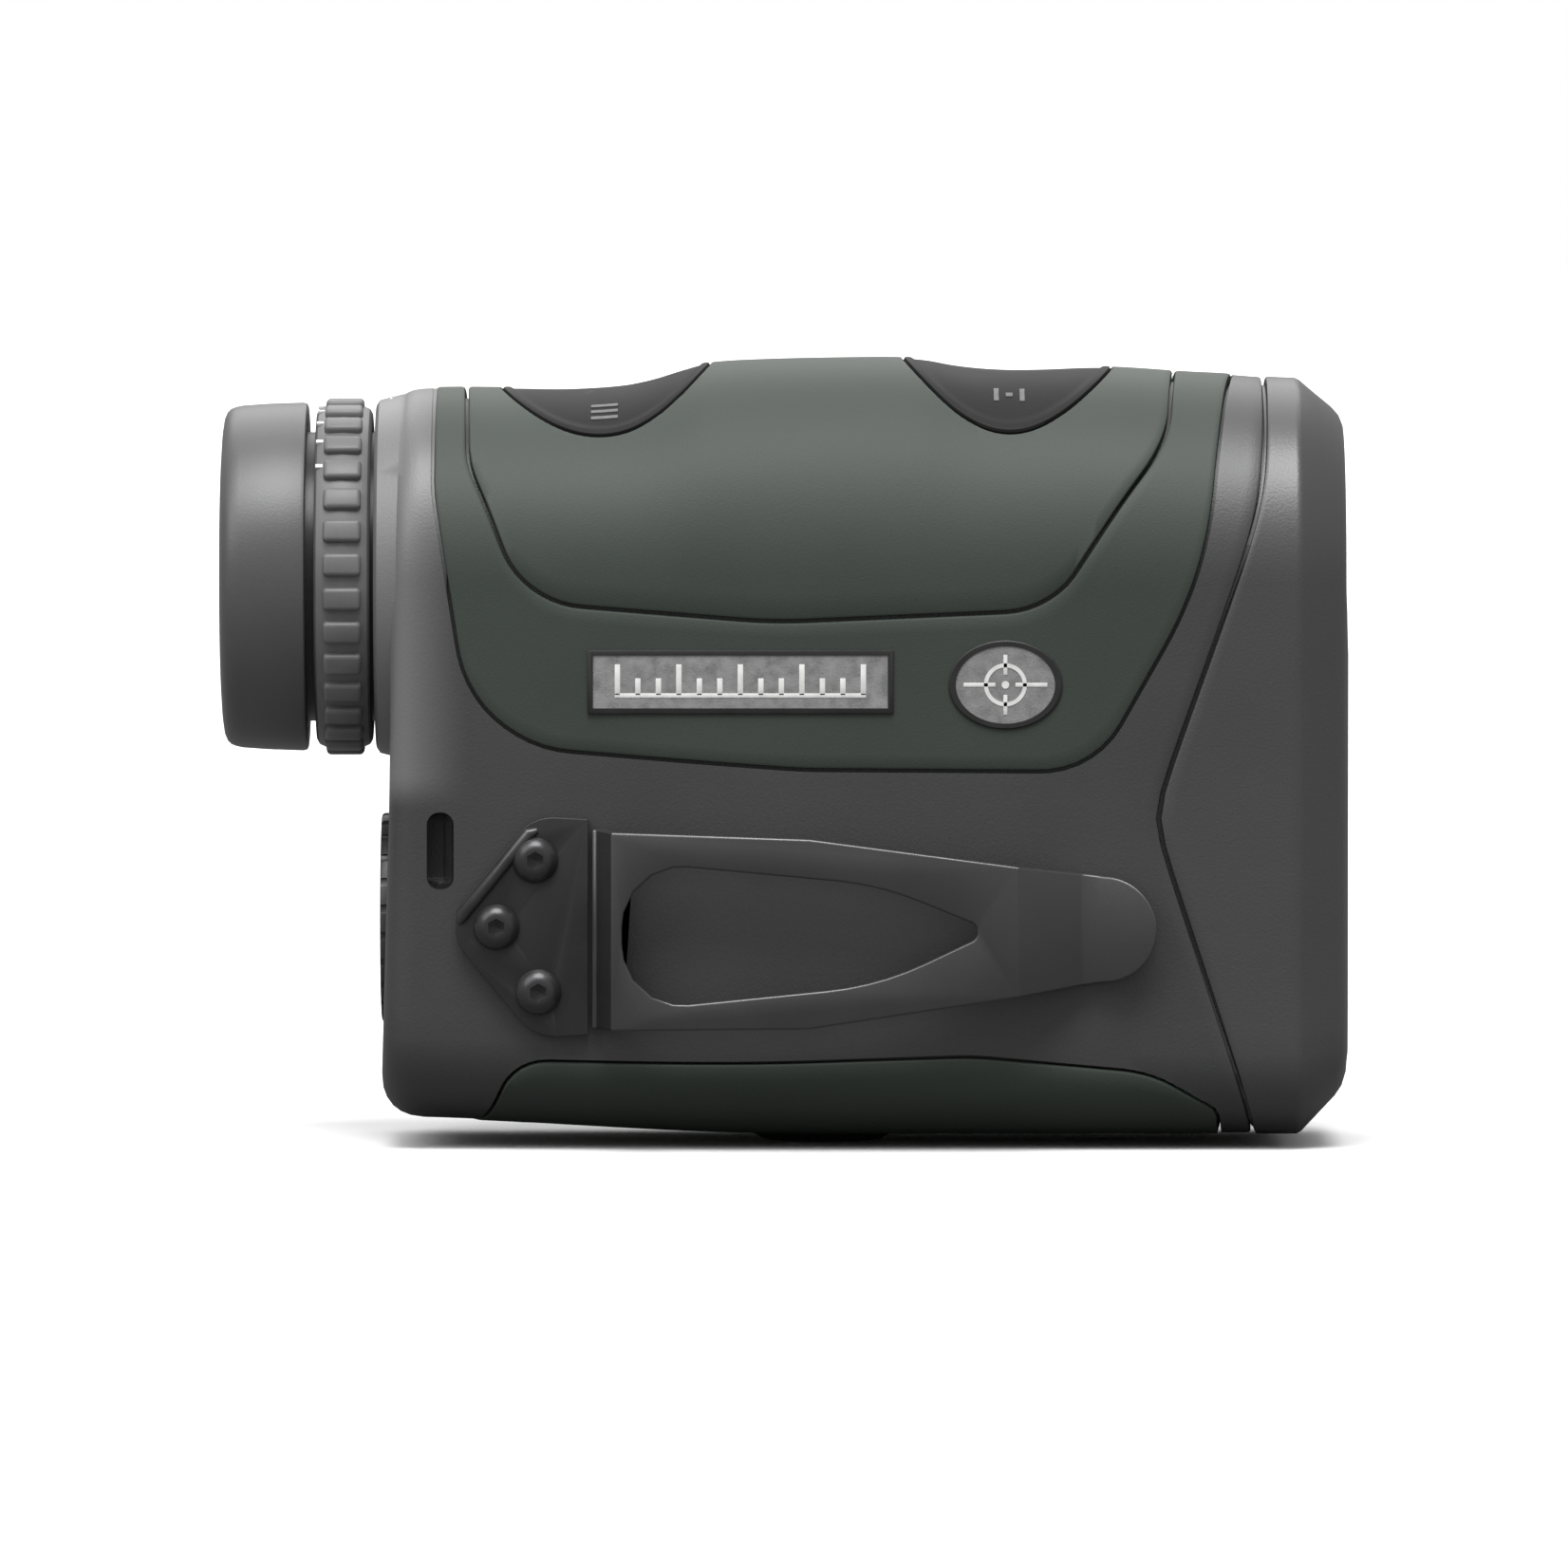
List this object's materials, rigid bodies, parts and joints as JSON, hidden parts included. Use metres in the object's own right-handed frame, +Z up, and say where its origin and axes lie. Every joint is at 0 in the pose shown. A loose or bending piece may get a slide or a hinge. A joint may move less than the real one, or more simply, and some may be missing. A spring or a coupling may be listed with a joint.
{
  "type": "laser rangefinder",
  "caption": "Hand-held laser rangefinder with rubber armour, roof buttons, twist-up eyecup, dioptre ring, battery cap, belt clip and tripod socket.",
  "frame": {"origin": "centre of the tripod socket's mouth, on the underside of the tripod pad", "axes": "+X along the line of sight towards the target, +Z up, the belt clip on the -Y side"},
  "size_m": [0.1139, 0.0458, 0.079],
  "materials": {
    "charcoal_polymer": "fine textured charcoal polymer",
    "green_armour": "dark green soft-touch rubber with a fine grain",
    "black_rubber": "black moulded rubber",
    "black_steel": "black oxide coated spring steel",
    "black_anodised": "black anodised aluminium",
    "label_metal": "grey etched label with a dark edge",
    "coated_glass": "coated optical glass",
    "circuit_board": "green solder mask",
    "flex_polymer": "amber polyimide",
    "bright_steel": "bright steel",
    "brass": "plain brass",
    "cell_wrap": "blue shrink wrap"
  },
  "bodies": {
    "housing": {"main_housing": "charcoal_polymer", "front_bezel": "charcoal_polymer", "bezel_gasket": "black_rubber", "upper_armour": "green_armour", "top_panel": "green_armour", "lower_armour": "green_armour", "nameplate": "label_metal", "oval_badge": "label_metal", "button_seals": "black_rubber", "button_board": "circuit_board", "button_switches": "black_anodised", "ribbon_cable": "flex_polymer", "eyepiece_barrel": "black_anodised", "barrel_retainer": "black_steel", "optical_chassis": "black_anodised", "chassis_screws": "bright_steel", "objective_cell": "black_anodised", "objective_ring": "black_steel", "objective_lens": "coated_glass", "focus_lens": "coated_glass", "roof_prism": "coated_glass", "splitter_prism": "coated_glass", "prism_clamp": "black_steel", "display_module": "black_anodised", "detector_board": "circuit_board", "laser_tube": "black_anodised", "laser_diode": "bright_steel", "collimator_lens": "coated_glass", "main_board": "circuit_board", "board_chips": "black_rubber", "board_screws": "bright_steel", "battery_tube": "black_rubber", "battery": "cell_wrap", "battery_spring": "bright_steel", "tripod_insert": "brass", "clip_plate": "black_steel", "clip_screws": "black_steel"},
    "rear_button": {"rear_button": "charcoal_polymer"},
    "front_button": {"front_button": "charcoal_polymer"},
    "dioptre_ring": {"dioptre_ring": "black_rubber"},
    "ocular": {"ocular_cell": "black_anodised", "eye_lens": "coated_glass", "field_lens": "coated_glass", "dioptre_pin": "bright_steel"},
    "eyecup_turn": {"eyecup_sleeve": "black_steel"},
    "eyecup": {"eyecup_core": "black_anodised", "eyecup_rubber": "black_rubber"},
    "cap_carrier": {"cap_seal": "black_rubber"},
    "battery_cap": {"battery_cap": "charcoal_polymer", "battery_contact": "brass"},
    "clip_blade": {"clip_blade": "black_steel"}
  },
  "joints": [
    {"name": "rear_button_press", "type": "slide", "parent": "housing", "child": "rear_button", "axis": [0, 0, -1], "range_m": [0, 0.0007], "stiffness_N_per_m": 1500},
    {"name": "front_button_press", "type": "slide", "parent": "housing", "child": "front_button", "axis": [0, 0, -1], "range_m": [0, 0.0007], "stiffness_N_per_m": 1500},
    {"name": "dioptre_turn", "type": "hinge", "parent": "housing", "child": "dioptre_ring", "pos_m": [-0.0482, 0, 0.0568], "axis": [1, 0, 0], "range_deg": [-60, 60]},
    {"name": "ocular_focus", "type": "slide", "parent": "housing", "child": "ocular", "axis": [-1, 0, 0], "range_m": [-0.001, 0.001]},
    {"name": "eyecup_twist", "type": "hinge", "parent": "housing", "child": "eyecup_turn", "pos_m": [-0.056, 0, 0.0568], "axis": [1, 0, 0], "range_deg": [0, 90]},
    {"name": "eyecup_lift", "type": "slide", "parent": "eyecup_turn", "child": "eyecup", "axis": [-1, 0, 0], "range_m": [0, 0.0045]},
    {"name": "cap_pull", "type": "slide", "parent": "housing", "child": "cap_carrier", "axis": [-1, 0, 0], "range_m": [0, 0.012]},
    {"name": "cap_turn", "type": "hinge", "parent": "cap_carrier", "child": "battery_cap", "pos_m": [-0.0439, 0, 0.0223], "axis": [1, 0, 0], "range_deg": [0, 90]},
    {"name": "clip_flex", "type": "hinge", "parent": "housing", "child": "clip_blade", "pos_m": [-0.02322, -0.0206, 0.0222], "axis": [0, 0, -1], "range_deg": [0, 8], "stiffness_Nm_per_rad": 2}
  ],
  "couplings": [
    {"joint": "ocular_focus", "follows": "dioptre_turn", "m_per_rad": 0.000954},
    {"joint": "eyecup_lift", "follows": "eyecup_twist", "m_per_rad": 0.002864}
  ]
}
